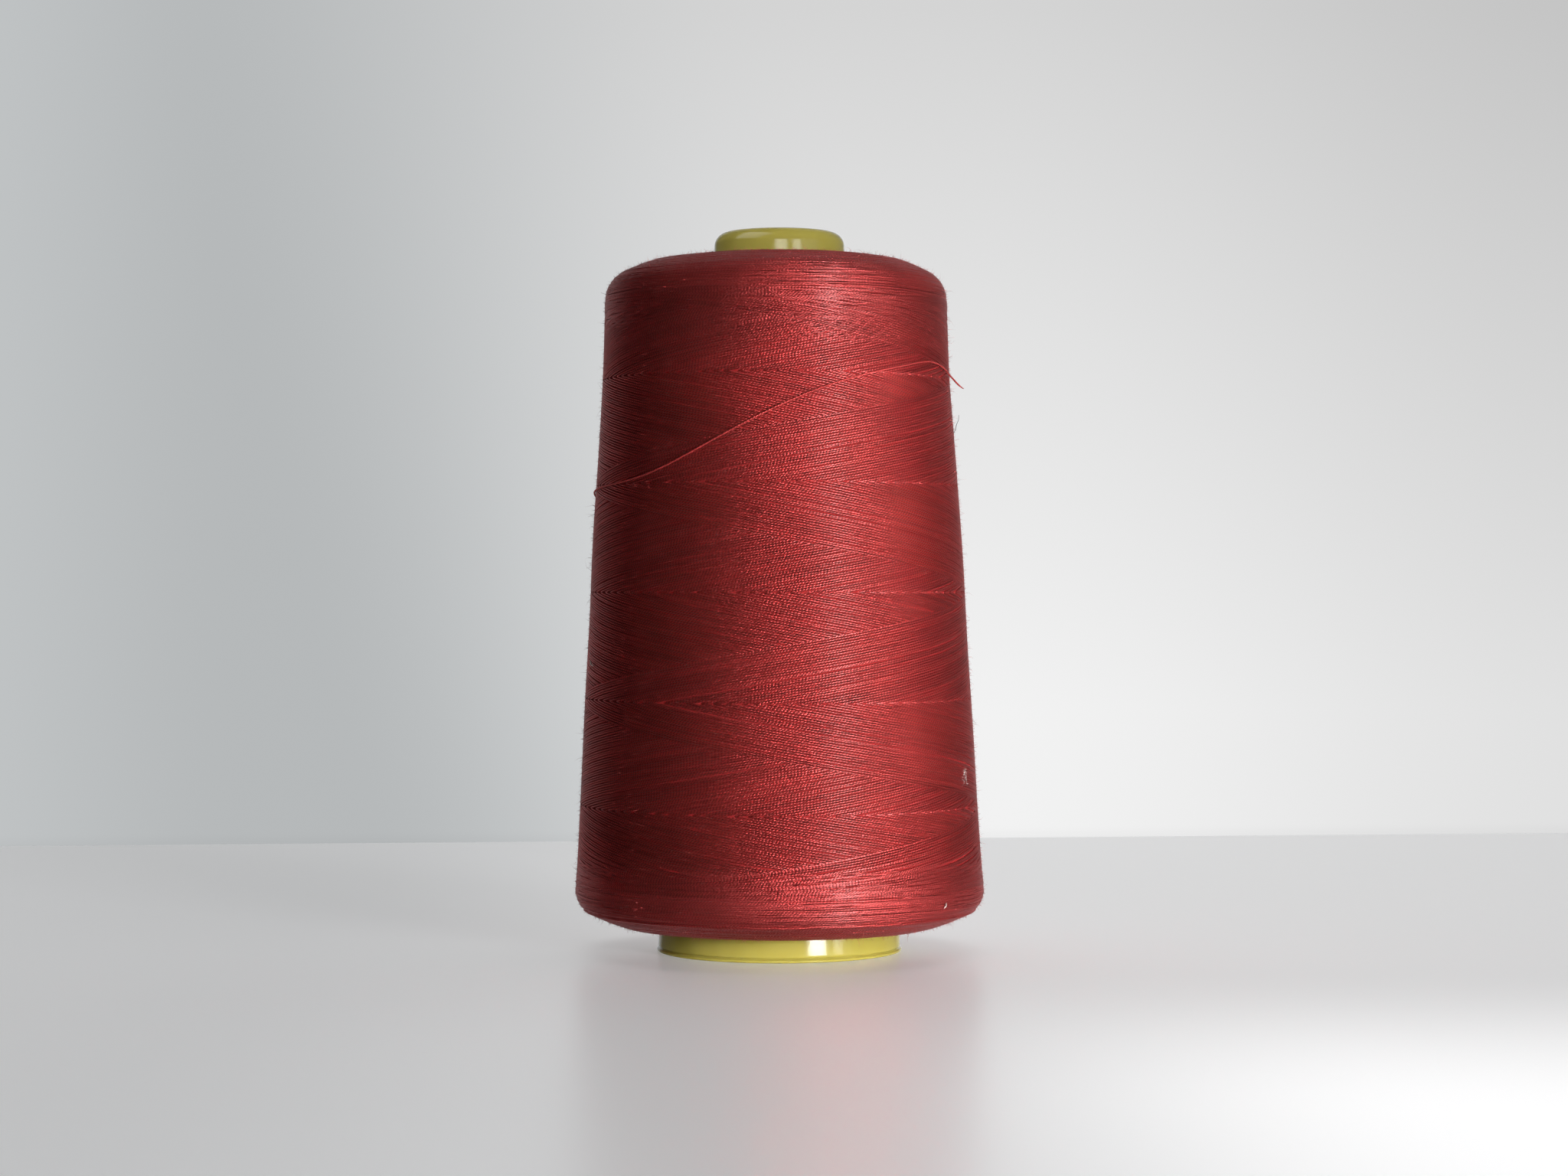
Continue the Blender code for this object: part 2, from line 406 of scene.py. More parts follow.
def wind_newest(material):
    """The thread laid last: it lies on top all the way up, then lifts into the loose end."""
    strands = Strands()
    end = LOOSE_ROUTE[0][1]
    travel = np.linspace(BASE_TURN, end, round((end - BASE_TURN) * turn_length() / SEGMENT))
    join = np.clip((travel - end) / (6 * MM) + 1, 0, 1)
    join = join * join * (3 - 2 * join)
    bearing = RISING_WRAP + travel / TURN_RISE
    bearing = bearing + join * (LOOSE_ROUTE[0][0] / 360 + TURNS_A_STROKE - bearing[-1])
    along = along_at(stroke_height(travel, 9 * MM, 9 * MM))
    strands.add(bearing, along, CREST_LIFT + join * (LOOSE_LIE - CREST_LIFT))
    strands.make("newest_turn", material)


def wind_end(name, inner, outer, low, cover, material):
    """Turns laid over one another on an end face and its shoulder, from inner to outer.

    inner, outer and low are distances along the outline; cover is how often it is laid over. A
    first layer goes on under the flank's threads as far as low; over it lie arcs, each the bend
    of a stroke where it turns back.
    """
    strands = Strands(facets=3)
    towards = 1 if inner > outer else -1
    wave = [(n, rng.uniform(0, TAU)) for n in (2, 3, 5)]
    for along in np.arange(min(inner, low), max(inner, low), 0.82 * THREAD_WIDTH):
        radius = np.interp(along, OUTLINE.along, OUTLINE.radius)
        turn = np.linspace(0, 1.02, max(40, round(TAU * radius / END_SEGMENT))) + rng.random()
        shared = sum(np.sin(n * TAU * turn + phase) for n, phase in wave)
        places = turn * TAU * radius
        across = along + 0.10 * MM * shared + wander(places, 0.04 * MM)
        strands.add(turn, np.clip(across, 0, OUTLINE.along[-1]), CREST_LIFT - 0.045 * MM + 0 * turn)
    laid = 0.0
    while laid < cover * abs(inner - outer):
        middle = rng.uniform(min(inner, outer), max(inner, outer))
        radius = np.interp(middle, OUTLINE.along, OUTLINE.radius)
        turns = rng.uniform(0.12, 0.4)
        length = turns * TAU * radius
        count = max(8, round(length / END_SEGMENT))
        places = np.linspace(-0.6 * DIVE_LENGTH, length + 0.6 * DIVE_LENGTH, count)
        turn = rng.random() + places / (TAU * radius)
        away = (places / length - 0.5) * 2
        bend = rng.uniform(0.1, 0.8) * MM * away**2
        along = middle - towards * bend + rng.uniform(-0.2, 0.2) * MM * away + wander(places, 0.04 * MM)
        along = np.clip(along, 0, OUTLINE.along[-1])
        lift = CREST_LIFT + rng.uniform(-0.05, 0.01) * MM
        strands.add(turn, along, lift - 0.6 * dive(places, length))
        laid += turns * THREAD_WIDTH
    strands.make(name, material)


def packed_core(material):
    """The layers under the outermost cover: the wound form with its bore, as one closed solid."""
    steps, rows = 168, 110
    along = np.linspace(0, OUTLINE.along[-1], rows)
    grid = []
    for step in range(steps):
        grid.append(on_winding(np.full(rows, step / steps), along, np.full(rows, CORE_LIFT))[0])
    points = np.concatenate(grid)
    piece = mesh_object("packed_turns", points, ring_faces(steps, rows), material)
    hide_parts("wound_thread")


# ---------------------------------------------------------------- the loose end
def loose_route():
    """The centre line of the loose end, as points."""
    bearing, height, lift = smooth_route(LOOSE_ROUTE, LOOSE_POINTS).T
    along = along_at(height)
    radius = np.interp(along, OUTLINE.along, OUTLINE.radius) + LOOSE_LIE + lift
    axis = np.interp(along, OUTLINE.along, OUTLINE.axis)
    turn = np.radians(bearing)
    return np.stack([radius * np.sin(turn) + axis, -radius * np.cos(turn), height], 1)


def loose_thread(material):
    """The loose end as two plies twisted round each other."""
    route = loose_route()
    steps = np.linalg.norm(np.diff(route, axis=0), axis=1)
    along = np.concatenate([[0], np.cumsum(steps)])
    count = round(along[-1] / LOOSE_STEP)
    at = np.linspace(0, along[-1], count)
    line = np.stack([np.interp(at, along, route[:, k]) for k in range(3)], 1)
    kernel = np.hanning(2 * LOOSE_SMOOTHING + 1)
    kernel /= kernel.sum()
    margin = (LOOSE_SMOOTHING, LOOSE_SMOOTHING)
    padded = np.pad(line, (margin, (0, 0)), mode="reflect", reflect_type="odd")
    line = np.stack([np.convolve(padded[:, k], kernel, "valid") for k in range(3)], 1)
    tangent = unit(np.gradient(line, axis=0))
    out = unit(line * (1, 1, 0))
    side = unit(np.cross(tangent, out))
    up = np.cross(side, tangent)
    left = np.clip((at[-1] - at) / LOOSE_TAPER, 0, 1)[:, None]
    ply_radius = PLY_RADIUS * (0.25 + 0.75 * left**0.8)  # the tail thins out as its fibres end
    offset = LOOSE_DIAMETER / 2 - PLY_RADIUS
    facets = 7
    angle = np.linspace(0, TAU, facets, endpoint=False)
    points, faces, strand = [], [], []
    for ply in (0, 0.5):
        twist = TAU * (at / (2 * PLY_PITCH) + ply)
        centre = line + offset * (side * np.cos(twist)[:, None] + up * np.sin(twist)[:, None])
        first = sum(len(p) for p in points)
        ring = centre[:, None] + ply_radius[:, None] * (
            side[:, None] * np.cos(angle)[None, :, None] + up[:, None] * np.sin(angle)[None, :, None]
        )
        points.append(ring.reshape(-1, 3))
        for i in range(count - 1):
            for j in range(facets):
                k = (j + 1) % facets
                a, b = first + i * facets, first + (i + 1) * facets
                faces.append((a + j, b + j, b + k, a + k))
        faces.append(tuple(first + j for j in range(facets)))
        faces.append(tuple(first + (count - 1) * facets + j for j in reversed(range(facets))))
        strand.append(np.repeat(at / MM, facets))
    piece = mesh_object("loose_end", np.concatenate(points), faces, material)
    layer = piece.data.uv_layers.new(name="strand")
    corners = np.empty(len(piece.data.loops), np.int32)
    piece.data.loops.foreach_get("vertex_index", corners)
    values = np.stack([np.concatenate(strand)[corners], np.full(len(corners), 0.5)], 1)
    layer.uv.foreach_set("vector", values.astype(np.float32).ravel())
    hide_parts("loose_thread")


# ---------------------------------------------------------------- the plastic cone
def arc(centre, radius, start, end, steps):
    """Points (radius, height) of an arc about centre; the angles are in degrees from level, upwards."""
    turns = np.radians(np.linspace(start, end, steps + 1))
    return [(centre[0] + radius * math.cos(t), centre[1] + radius * math.sin(t)) for t in turns]


def moulded_cone(material):
    """The plastic cone: a bead round the foot, a ring with some draft, the taper and a rounded nose.

    Its profile is in millimetres, (radius, height), up the outside and down the inside.
    """
    outside = [
        *arc((19.35, 0.27), 0.24, -80, 70, 6),
        *((19.24, 0.55), (19.16, 0.64), (19.24, 0.76)),
        *((19.36, 0.86), (19.38, 1.0), (19.37, 1.15)),
        *((19.37 - 0.075 * rise, 1.15 + rise) for rise in (0.4, 1.2, 2.2, 3.2, 4.0, 4.4)),
        *arc((18.71, 5.76), 0.33, 5, 88, 5),
        *((18.45, 6.15), (18.35, 6.4)),
        *((NOSE_RADIUS, 110.0), (NOSE_RADIUS - 0.06, 111.6)),
    ]
    crown = arc((NOSE_RADIUS - NOSE_ROUNDING - 0.1, 115 - NOSE_ROUNDING), NOSE_ROUNDING, 2, 90, 12)
    hole = arc((7.3, 114.5), 0.5, 90, 180, 5)
    inside = [(6.8, 113.0), (8.62, 112.4), (17.33, 0.3), (17.45, 0.09), (17.63, 0.0), (19.25, 0.0)]
    profile = np.array(outside + crown + hole + inside) * MM
    turn = TAU * np.arange(CONE_STEPS) / CONE_STEPS
    radius, height = profile.T
    points = np.stack([
        np.outer(np.sin(turn), radius),
        -np.outer(np.cos(turn), radius),
        np.outer(np.ones(CONE_STEPS), height),
    ], 2).reshape(-1, 3)
    faces = ring_faces(CONE_STEPS, len(profile))
    piece = mesh_object("moulded_cone", points, faces, material)
    piece.data.set_sharp_from_angle(angle=math.radians(40))
    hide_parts("plastic_cone")
    return piece


# ---------------------------------------------------------------- loose fibres
def spikes(name, roots, towards, bends, lengths, radii, joints, material):
    """Fine fibres, each a closed three-sided spike, from arrays with one row a fibre.

    joints is 1 for a spike with one bend in it and 0 for a straight one.
    """
    count = len(roots)
    towards = unit(towards)
    side = unit(np.cross(towards, unit(rng.normal(size=(count, 3)))))
    up = np.cross(towards, side)
    tip = 3 + 3 * joints
    points = np.empty((count, tip + 1, 3))
    for k in range(3):
        ring = radii[:, None] * (side * math.cos(TAU * k / 3) + up * math.sin(TAU * k / 3))
        points[:, k] = roots + ring
        knee = towards * lengths[:, None] * 0.55 - 0.2 * ring
        points[:, tip - 3 + k] = roots + joints * knee + ring
    points[:, tip] = roots + (towards + 0.45 * joints * unit(bends)) * lengths[:, None]
    faces, cells = [(2, 1, 0)], [((3, 0), (3.9, 0), (3.45, 1))]
    for k in range(3):
        n = (k + 1) % 3
        faces.append((tip - 3 + k, tip - 3 + n, tip))
        cells.append(((k, 1.1), (k + 0.9, 1.1), (k + 0.45, 2)))
        if joints:
            faces.append((k, n, 3 + n, 3 + k))
            cells.append(((k, 0), (k + 0.9, 0), (k + 0.9, 1), (k, 1)))
    step = tip + 1
    every = [tuple(step * i + corner for corner in face) for i in range(count) for face in faces]
    piece = mesh_object(name, points.reshape(-1, 3), every, material)
    grid = math.ceil(math.sqrt(count))
    cell = np.array([corner for face in cells for corner in face]) / (4.2, 2.2)
    corner = np.stack([np.arange(count) % grid, np.arange(count) // grid], 1)
    bake = (corner[:, None] + 0.05 + 0.9 * cell[None]) / grid
    piece.data.uv_layers.new(name="OFBake").uv.foreach_set("vector", bake.astype(np.float32).ravel())
    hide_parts("wound_thread")


def fuzz(name, count, length, thickness, joints, material):
    """The down of fibre ends all over spun thread; length and thickness are the usual ones."""
    along = rng.uniform(0, OUTLINE.along[-1], 3 * count)
    radius = np.interp(along, OUTLINE.along, OUTLINE.radius)
    along = along[rng.random(len(along)) * radius.max() < radius][:count]
    bearing = rng.random(len(along))
    roots, normals = on_winding(bearing, along, np.full(len(along), CREST_LIFT + 0.25 * THREAD_HEIGHT))
    turn = TAU * bearing
    round_axis = np.stack([np.cos(turn), np.sin(turn), 0 * turn], 1)
    lean = rng.normal(size=(len(along), 1))
    towards = normals * rng.uniform(0.3, 1.2, lean.shape) + round_axis * lean
    towards = towards + 0.3 * rng.normal(size=roots.shape)
    lengths = np.clip(rng.lognormal(math.log(length), 0.5, len(along)), 0.4 * length, 5 * length)
    bends = rng.normal(size=roots.shape) - 0.5 * normals
    radii = thickness / 2 * rng.uniform(0.7, 1.3, len(along))
    spikes(name, roots, towards, bends, lengths, radii, joints, material)


def tube(centre, radius, facets):
    """Points and faces of a closed round tube along a line of points, tapered by an array of radii."""
    tangent = unit(np.gradient(centre, axis=0))
    side = unit(np.cross(tangent, (0.3, 0.2, 0.9)))
    up = np.cross(tangent, side)
    angle = np.linspace(0, TAU, facets, endpoint=False)[None, :, None]
    ring = side[:, None] * np.cos(angle) + up[:, None] * np.sin(angle)
    points = (centre[:, None] + radius[:, None, None] * ring).reshape(-1, 3)
    faces = [tuple(range(facets))[::-1], tuple(range(len(points) - facets, len(points)))]
    for i in range(len(centre) - 1):
        for j in range(facets):
            k = (j + 1) % facets
            faces.append((i * facets + j, i * facets + k, (i + 1) * facets + k, (i + 1) * facets + j))
    return points, faces


def gathered(name, tubes, material):
    """One piece from several tubes, each its points and faces."""
    points, faces = [], []
    for more_points, more_faces in tubes:
        first = sum(len(p) for p in points)
        points.append(more_points)
        faces.extend(tuple(first + corner for corner in face) for face in more_faces)
    piece = mesh_object(name, np.concatenate(points), faces, material)
    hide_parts("wound_thread")


def curl(bearing, height, length, wide, thickness):
    """A tube for one curled fibre that wanders over the flank about a place."""
    knots, count = 7, 36
    across = np.linspace(-0.5, 0.5, knots)
    rows = np.zeros((knots, 3))
    rows[:, 0] = bearing / 360 + across * wide / (TAU * USUAL_RADIUS)
    rows[:, 1] = height + across * length * rng.choice((-1, 1))
    rows[:, :2] += rng.normal(size=(knots, 2)) * (0.0018, 0.3 * MM)
    rows[:, 2] = CREST_LIFT + 0.2 * MM + rng.uniform(0, 0.4, knots) * MM
    turn, high, lift = smooth_route(rows, count).T
    centre, _ = on_winding(turn, along_at(high), lift)
    return tube(centre, np.full(count, thickness), 5)


def lint(material):
    """Pale lint: a curled tuft low on the right, a fleck low on the left, and pale specks all round."""
    tubes = []
    for _ in range(4):
        bearing, height = 67 + rng.normal(0, 1.0), 28.6 * MM + rng.normal(0, 0.5) * MM
        length, wide = rng.uniform(1.5, 3.0) * MM, rng.uniform(0.3, 1.6) * MM
        tubes.append(curl(bearing, height, length, wide, 0.013 * MM))
    tubes.append(curl(51, 9.2 * MM, 0.25 * MM, 0.3 * MM, 0.04 * MM))
    tubes.append(curl(-73, 46 * MM, 0.5 * MM, 0.3 * MM, 0.06 * MM))
    bearing, along = rng.random(SPECKS), rng.uniform(along_at(12 * MM), along_at(106 * MM), SPECKS)
    places, _ = on_winding(bearing, along, np.full(SPECKS, CREST_LIFT + 0.5 * THREAD_HEIGHT))
    for place in places:
        spread = rng.uniform(0.02, 0.05) * MM
        line = place + np.linspace(-1, 1, 3)[:, None] * unit(rng.normal(size=(1, 3))) * spread
        tubes.append(tube(line, spread * np.array([0.5, 0.8, 0.5]), 5))
    gathered("lint", tubes, material)


def stray_fibre(material):
    """A dark fibre that stands off the right side, below the tail of the thread."""
    count = 24
    turn, height, lift = smooth_route(STRAY_ROUTE, count).T
    centre, _ = on_winding(turn / 360, along_at(height), lift)
    gathered("stray_fibre", [tube(centre, np.linspace(0.055, 0.03, count) * MM, 5)], material)


# ---------------------------------------------------------------- materials
class Graph:
    """Short ways to add shader nodes and join them."""

    def __init__(self, name):
        self.material = bpy.data.materials.new(name)
        self.material.use_nodes = True
        self.tree = self.material.node_tree
        self.shader = self.tree.nodes["Principled BSDF"]

    def set(self, **values):
        for name, value in values.items():
            self.shader.inputs[name.replace("_", " ")].default_value = value

    def join(self, source, socket):
        if isinstance(source, (int, float, tuple)):
            socket.default_value = source
        else:
            self.tree.links.new(source, socket)

    def math(self, operation, *values):
        node = self.tree.nodes.new("ShaderNodeMath")
        node.operation = operation
        for value, socket in zip(values, node.inputs):
            self.join(value, socket)
        return node.outputs[0]

    def mix(self, factor, first, second, blend="MIX"):
        node = self.tree.nodes.new("ShaderNodeMix")
        node.data_type = "RGBA"
        node.blend_type = blend
        self.join(factor, node.inputs[0])
        self.join(first, node.inputs[6])
        self.join(second, node.inputs[7])
        return node.outputs[2]

    def noise(self, vector, scale, detail=2.0, roughness=0.5):
        node = self.tree.nodes.new("ShaderNodeTexNoise")
        self.join(vector, node.inputs["Vector"])
        node.inputs["Scale"].default_value = scale
        node.inputs["Detail"].default_value = detail
        node.inputs["Roughness"].default_value = roughness
        return node.outputs["Fac"]

    def place(self):
        return self.tree.nodes.new("ShaderNodeTexCoord").outputs["Object"]

    def uv(self, name):
        node = self.tree.nodes.new("ShaderNodeUVMap")
        node.uv_map = name
        return node.outputs[0]

    def split(self, vector):
        node = self.tree.nodes.new("ShaderNodeSeparateXYZ")
        self.join(vector, node.inputs[0])
        return node.outputs

    def merge(self, x, y, z=0.0):
        node = self.tree.nodes.new("ShaderNodeCombineXYZ")
        for value, socket in zip((x, y, z), node.inputs):
            self.join(value, socket)
        return node.outputs[0]

    def ramp(self, value, low, high, start, end, shape="SMOOTHSTEP"):
        node = self.tree.nodes.new("ShaderNodeMapRange")
        node.interpolation_type = shape
        self.join(value, node.inputs["Value"])
        names = ("From Min", "From Max", "To Min", "To Max")
        for name, number in zip(names, (low, high, start, end)):
            node.inputs[name].default_value = number
        return node.outputs[0]

    def attribute(self, name):
        node = self.tree.nodes.new("ShaderNodeAttribute")
        node.attribute_name = name
        return node.outputs["Fac"]

    def bump(self, height, distance, strength=1.0):
        node = self.tree.nodes.new("ShaderNodeBump")
        node.inputs["Distance"].default_value = distance
        node.inputs["Strength"].default_value = strength
        self.join(height, node.inputs["Height"])
        return node.outputs[0]


def make_thread_material(name, crest, lustre, relief):
    """Two-ply spun polyester: plies twisted round each other, fine fibres along them.

    crest is the colour of a ply's crest, darkened towards the creases between plies as painted shade;
    relief is how plainly the plies are drawn, in bump and painted shade, 0 where they are real
    geometry.
    """
    g = Graph(name)
    g.set(Metallic=lustre, Roughness=0.39, Specular_IOR_Level=0.2, Coat_Weight=0.4, Coat_Roughness=0.30)
    g.shader.inputs["Specular Tint"].default_value = (0.50, 0.12, 0.11, 1.0)
    along, across, _ = g.split(g.uv("strand"))
    phase = g.math("ADD", g.math("DIVIDE", along, PLY_PITCH / MM), g.math("MULTIPLY", across, 0.85))
    wave = g.math("ABSOLUTE", g.math("SINE", g.math("MULTIPLY", phase, math.pi)))
    ply = g.math("MULTIPLY_ADD", g.math("POWER", wave, 0.75), relief, 0.85 * (1 - relief))
    drawn_out = g.merge(g.math("MULTIPLY", phase, 0.55), g.math("MULTIPLY", across, 9.0))
    fibres = g.noise(drawn_out, 2.2, 3.0, 0.6)
    blotch = g.noise(g.place(), 140.0, 3.0)
    # painted shade: the colour darkens from the crest towards the creases between plies
    colour = g.mix(ply, (0.30, 0.014, 0.015, 1.0), crest)
    tone = g.math("MULTIPLY_ADD", g.attribute("tone"), 0.22, 0.80)
    tone = g.math("MULTIPLY", tone, g.math("MULTIPLY_ADD", fibres, 0.35, 0.82))
    tone = g.math("MULTIPLY", tone, g.math("MULTIPLY_ADD", blotch, 0.3, 0.85))
    # the threads darken by up to 22% from 90 to 102 mm high
    _, _, height = g.split(g.place())
    darker_top = g.ramp(height, 0.09, 0.102, 1.0, 0.78)
    tone = g.math("MULTIPLY", tone, darker_top)
    g.join(g.mix(1.0, colour, g.merge(tone, tone, tone), "MULTIPLY"), g.shader.inputs["Base Color"])
    surface = g.math("ADD", ply, g.math("MULTIPLY", fibres, 0.35))
    g.join(g.bump(surface, 0.065 * MM), g.shader.inputs["Normal"])
    return g.material


def make_core_material():
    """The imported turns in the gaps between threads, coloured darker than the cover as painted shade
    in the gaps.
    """
    g = Graph("packed_thread")
    g.set(Roughness=0.8, Metallic=0.3, Specular_IOR_Level=0.2)
    speckle = g.noise(g.place(), 2600.0, 2.0)
    # painted shade: darker than the covering threads, as the gaps between them lie in shade
    colour = g.mix(speckle, (0.28, 0.016, 0.017, 1.0), (0.48, 0.035, 0.034, 1.0))
    g.join(colour, g.shader.inputs["Base Color"])
    g.join(g.bump(speckle, 0.05 * MM), g.shader.inputs["Normal"])
    return g.material


def make_fibre_material(name, dark, light):
    """Single fibres, seen as a soft down."""
    g = Graph(name)
    g.set(Roughness=0.6)
    g.join(g.mix(g.noise(g.place(), 900.0), dark, light), g.shader.inputs["Base Color"])
    return g.material


def make_plastic_material():
    """Yellow-green moulded plastic, semi-gloss, a little cloudy, with painted shade darkening the nose.
    """
    g = Graph("moulded_plastic")
    g.set(Subsurface_Weight=0.35, Subsurface_Scale=2 * MM, IOR=1.5, Specular_IOR_Level=0.17)
    g.shader.inputs["Subsurface Radius"].default_value = (1.0, 0.92, 0.5)
    cloud = g.noise(g.place(), 260.0, 3.0)
    fine = g.noise(g.place(), 2600.0, 2.0)
    _, _, height = g.split(g.place())
    shade = g.ramp(height, 0.02, 0.10, 0.56, 0.27)  # painted shade: the colour darkens up the nose to about half the ring's
    colour = g.mix(cloud, (0.54, 0.455, 0.085, 1.0), (0.62, 0.53, 0.115, 1.0))
    g.join(g.mix(1.0, colour, g.merge(shade, shade, shade), "MULTIPLY"), g.shader.inputs["Base Color"])
    g.join(g.math("MULTIPLY_ADD", cloud, 0.07, 0.11), g.shader.inputs["Roughness"])
    g.join(g.bump(g.math("MULTIPLY_ADD", fine, 0.25, cloud), 0.02 * MM, 0.5), g.shader.inputs["Normal"])
    return g.material


# ---------------------------------------------------------------- stage, lights and camera
EYE_HEIGHT = 58.05 * MM
EYE_DISTANCE = 520 * MM
EYE_SIDE = 0.74 * MM
LENS = 74.4
TABLE_BACK = 228 * MM
TABLE_SKEW = 0.108  # the far edge runs back a little towards the right
WALL_BACK = 1.0
WALL_REACH = 2.0  # how far the other walls are, and half the width of each
EDGE_DROP = 0.078  # on the wall behind, the table's far edge is seen this much lower for its skew


def set_camera():
    data = bpy.data.cameras.new("camera")
    data.lens = LENS
    data.sensor_width = 36
    data.clip_start = 0.01
    camera = bpy.data.objects.new("camera", data)
    camera.location = (EYE_SIDE, -EYE_DISTANCE, EYE_HEIGHT)
    camera.rotation_euler = (math.pi / 2, 0, 0)
    bpy.context.scene.collection.objects.link(camera)
    bpy.context.scene.camera = camera


def area_light(name, bearing, elevation, distance, size, power):
    """A soft light aimed at the middle of the cone, from a bearing and an elevation in degrees."""
    data = bpy.data.lights.new(name, "AREA")
    data.shape = "RECTANGLE"
    data.size, data.size_y = size
    data.energy = power
    light = bpy.data.objects.new(name, data)
    turn, rise = math.radians(bearing), math.radians(elevation)
    light.location = (
        distance * math.sin(turn) * math.cos(rise),
        -distance * math.cos(turn) * math.cos(rise),
        EYE_HEIGHT + distance * math.sin(rise),
    )
    light.rotation_euler = (math.pi / 2 - rise, 0, turn)
    light.visible_camera = False
    bpy.context.scene.collection.objects.link(light)
    return light


def plane(name, corners, material):
    mesh = bpy.data.meshes.new(name)
    mesh.from_pydata(corners, [], [(0, 1, 2, 3)])
    mesh.materials.append(material)
    made = bpy.data.objects.new(name, mesh)
    bpy.context.scene.collection.objects.link(made)
    return made


def table_material():
    """A pale satin table with painted light: paler and glowing more towards the daylight at the near
    right.
    """
    g = Graph("pale_table")
    g.set(Roughness=0.32)
    x, y, _ = g.split(g.place())
    near = g.ramp(y, -0.165, -0.03, 1.0, 0.0)
    lit = g.math("MULTIPLY", near, g.ramp(x, -0.005, 0.08, 0.0, 1.0))
    g.join(g.mix(lit, (0.72, 0.72, 0.73, 1.0), (0.97, 0.97, 0.98, 1.0)), g.shader.inputs["Base Color"])
    # painted light: the table glows a little all over, more towards the right and in the daylit patch
    g.shader.inputs["Emission Color"].default_value = (1.0, 1.0, 1.0, 1.0)
    glow = g.math("MULTIPLY_ADD", lit, 0.27, g.ramp(x, -0.09, 0.01, 0.16, 0.23))
    g.join(glow, g.shader.inputs["Emission Strength"])
    return g.material


def wall_material(name, corners):
    """A pale wall, daylit from the right: grey on the left, bright behind the cone's right side.

    corners is the places where it is dark and the share of light there.
    """
    g = Graph(name)
    g.set(Base_Color=(0.0, 0.0, 0.0, 1.0), Specular_IOR_Level=0.0, Emission_Strength=1.0)
    x, _, z = g.split(g.place())
    higher = g.ramp(z, 0.0, 0.33, 0.89, 0.66, "LINEAR")
    daylit = g.math("MULTIPLY", higher, g.ramp(x, 0.08, 0.40, 1.0, 0.84))
    shade = g.ramp(x, -0.40, -0.25, 0.545, 0.48)
    turn = g.ramp(g.math("MULTIPLY_ADD", z, 0.25, x), -0.22, 0.10, 0.0, 1.0)
    rest = g.math("MULTIPLY", shade, g.math("SUBTRACT", 1.0, turn))
    bright = g.math("MULTIPLY_ADD", daylit, turn, rest)
    edge = g.math("MULTIPLY_ADD", x, -TABLE_SKEW * EDGE_DROP, z)  # painted shade: a thin darker band on the wall softens the table's far edge
    bright = g.math("MULTIPLY", bright, g.ramp(edge, -0.061, -0.054, 0.95, 1.0))
    for corner, share in corners:
        bright = g.math("MULTIPLY", bright, g.ramp(x, corner, corner / 1.5, share, 1.0))
    tint = g.mix(turn, (0.97, 1.005, 1.02, 1.0), (1.0, 1.0, 1.0, 1.0))
    colour = g.mix(1.0, tint, g.merge(bright, bright, bright), "MULTIPLY")
    g.join(colour, g.shader.inputs["Emission Color"])
    return g.material


def set_room():
    """Four walls for the camera, and the one behind the cone again, with dark ends, for its light."""
    pale = wall_material("pale_wall", ())
    reach = WALL_REACH
    square = ((-reach, -reach), (reach, -reach), (reach, reach), (-reach, reach))
    walls = {
        "wall_back": [(x, WALL_BACK, z) for x, z in square],
        "wall_front": [(x, -reach, z) for x, z in square],
        "wall_left": [(-reach, y, z) for y, z in square],
        "wall_right": [(reach, y, z) for y, z in square],
    }
    for name, corners in walls.items():
        wall = plane(name, corners, pale)
        wall.visible_diffuse = wall.visible_glossy = wall.visible_shadow = False
    glow = wall_material("wall_glow", ((-0.60, 0.22), (0.60, 0.45)))
    plane("wall_glow", walls["wall_back"], glow).visible_camera = False


def set_stage():
    scene = bpy.context.scene
    scene.view_settings.view_transform = "Standard"
    under, wide = -0.02 * MM, 1.6
    left, right = TABLE_BACK - wide * TABLE_SKEW, TABLE_BACK + wide * TABLE_SKEW
    corners = [(-wide, -wide, under), (wide, -wide, under), (wide, right, under), (-wide, left, under)]
    plane("table", corners, table_material()).visible_glossy = False
    set_room()
    world = bpy.data.worlds.new("room")
    world.use_nodes = True
    world.node_tree.nodes["Background"].inputs["Color"].default_value = (0.85, 0.87, 0.9, 1.0)
    world.node_tree.nodes["Background"].inputs["Strength"].default_value = 0.015
    scene.world = world
    area_light("window", 36, 2.3, 1.3, (0.37, 0.21), 20.3)
    area_light("side_window", 57, 8, 1.3, (0.7, 0.6), 2.3)
    area_light("low_window", 57, -0.6, 1.3, (0.20, 0.05), 0.9)
    area_light("sky", 180, 76, 1.1, (1.2, 0.9), 4.1).visible_glossy = False


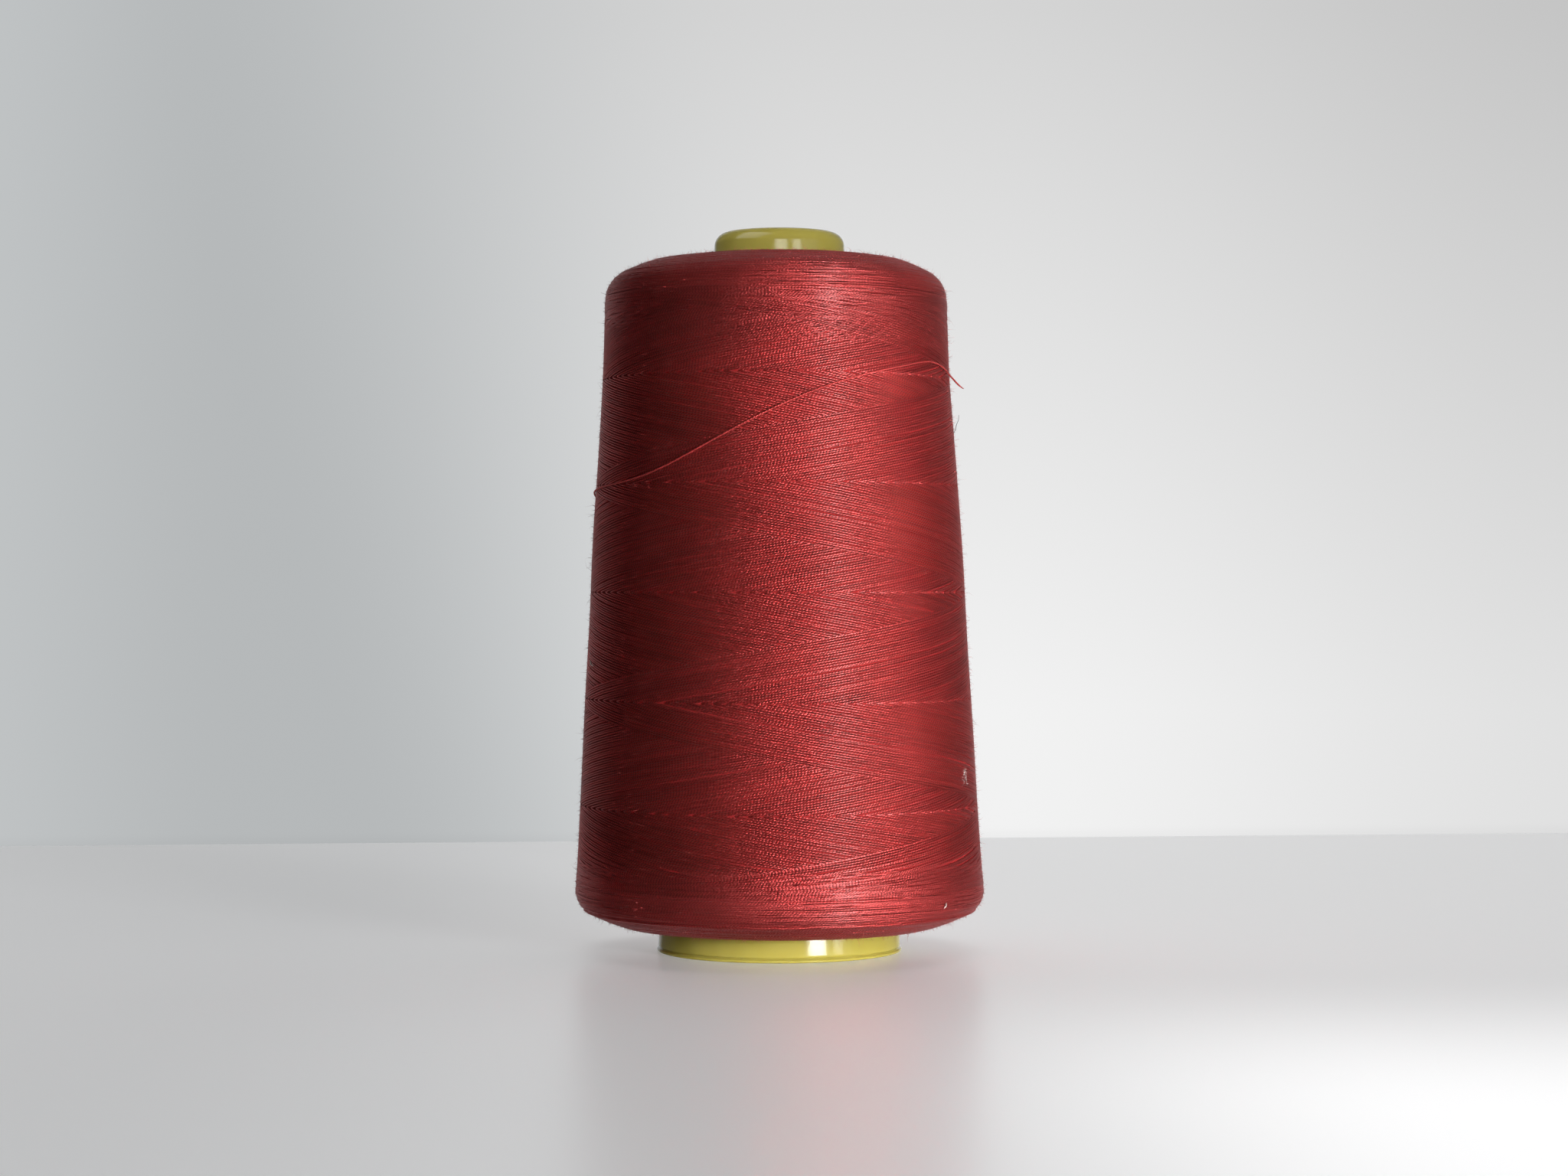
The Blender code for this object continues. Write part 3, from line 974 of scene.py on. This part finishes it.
def light_apart(cone):
    """Soft lights that the moulded cone has to itself: two dim panes and the room on the left.

    One more, from behind on the left, lights all but the cone.
    """
    receivers = bpy.data.collections.new("lit_plastic")
    receivers.objects.link(cone)
    for light in (
        area_light("front_pane", 3, 12, 1.2, (0.44, 0.30), 7),
        area_light("right_pane", 31, 12, 1.2, (0.30, 0.30), 4),
        area_light("left_room", -65, 50, 1.0, (0.8, 0.8), 10),
    ):
        light.light_linking.receiver_collection = receivers
    others = bpy.data.collections.new("all_but_plastic")
    others.objects.link(cone)
    others.collection_objects[0].light_linking.link_state = "EXCLUDE"
    rim = area_light("left_back", -138, 3, 0.9, (0.5, 0.4), 0.3)
    rim.light_linking.receiver_collection = others


def main():
    set_camera()
    loose_thread(make_thread_material("plied_thread", (0.82, 0.095, 0.088, 1.0), 0.5, 0.0))
    set_stage()
    light_apart(moulded_cone(make_plastic_material()))
    thread = make_thread_material("thread", (0.74, 0.104, 0.099, 1.0), 0.9, 1.0)
    # the top turns' crest is a little darker than the flank's
    top_thread = make_thread_material("top_thread", (0.70, 0.088, 0.084, 1.0), 0.78, 0.6)
    base_thread = make_thread_material("base_thread", (0.74, 0.100, 0.096, 1.0), 0.8, 0.7)
    packed_core(make_core_material())
    wind_flank(4, thread)
    wind_newest(thread)
    wind_end("top_turns", OUTLINE.along[-1], along_at(99 * MM), along_at(96 * MM), 1.5, top_thread)
    wind_end("base_turns", 0.0, along_at(13 * MM), along_at(15 * MM), 1.3, base_thread)
    fibre = make_fibre_material("fibre", (0.30, 0.036, 0.033, 1.0), (0.52, 0.10, 0.09, 1.0))
    fuzz("fuzz_long", 9000, 0.62 * MM, 0.034 * MM, 1, fibre)
    fuzz("fuzz_short", 49000, 0.34 * MM, 0.042 * MM, 0, fibre)
    lint(make_fibre_material("lint", (0.60, 0.50, 0.46, 1.0), (0.80, 0.74, 0.70, 1.0)))
    stray_fibre(make_fibre_material("dark_fibre", (0.04, 0.045, 0.04, 1.0), (0.08, 0.09, 0.08, 1.0)))


main()
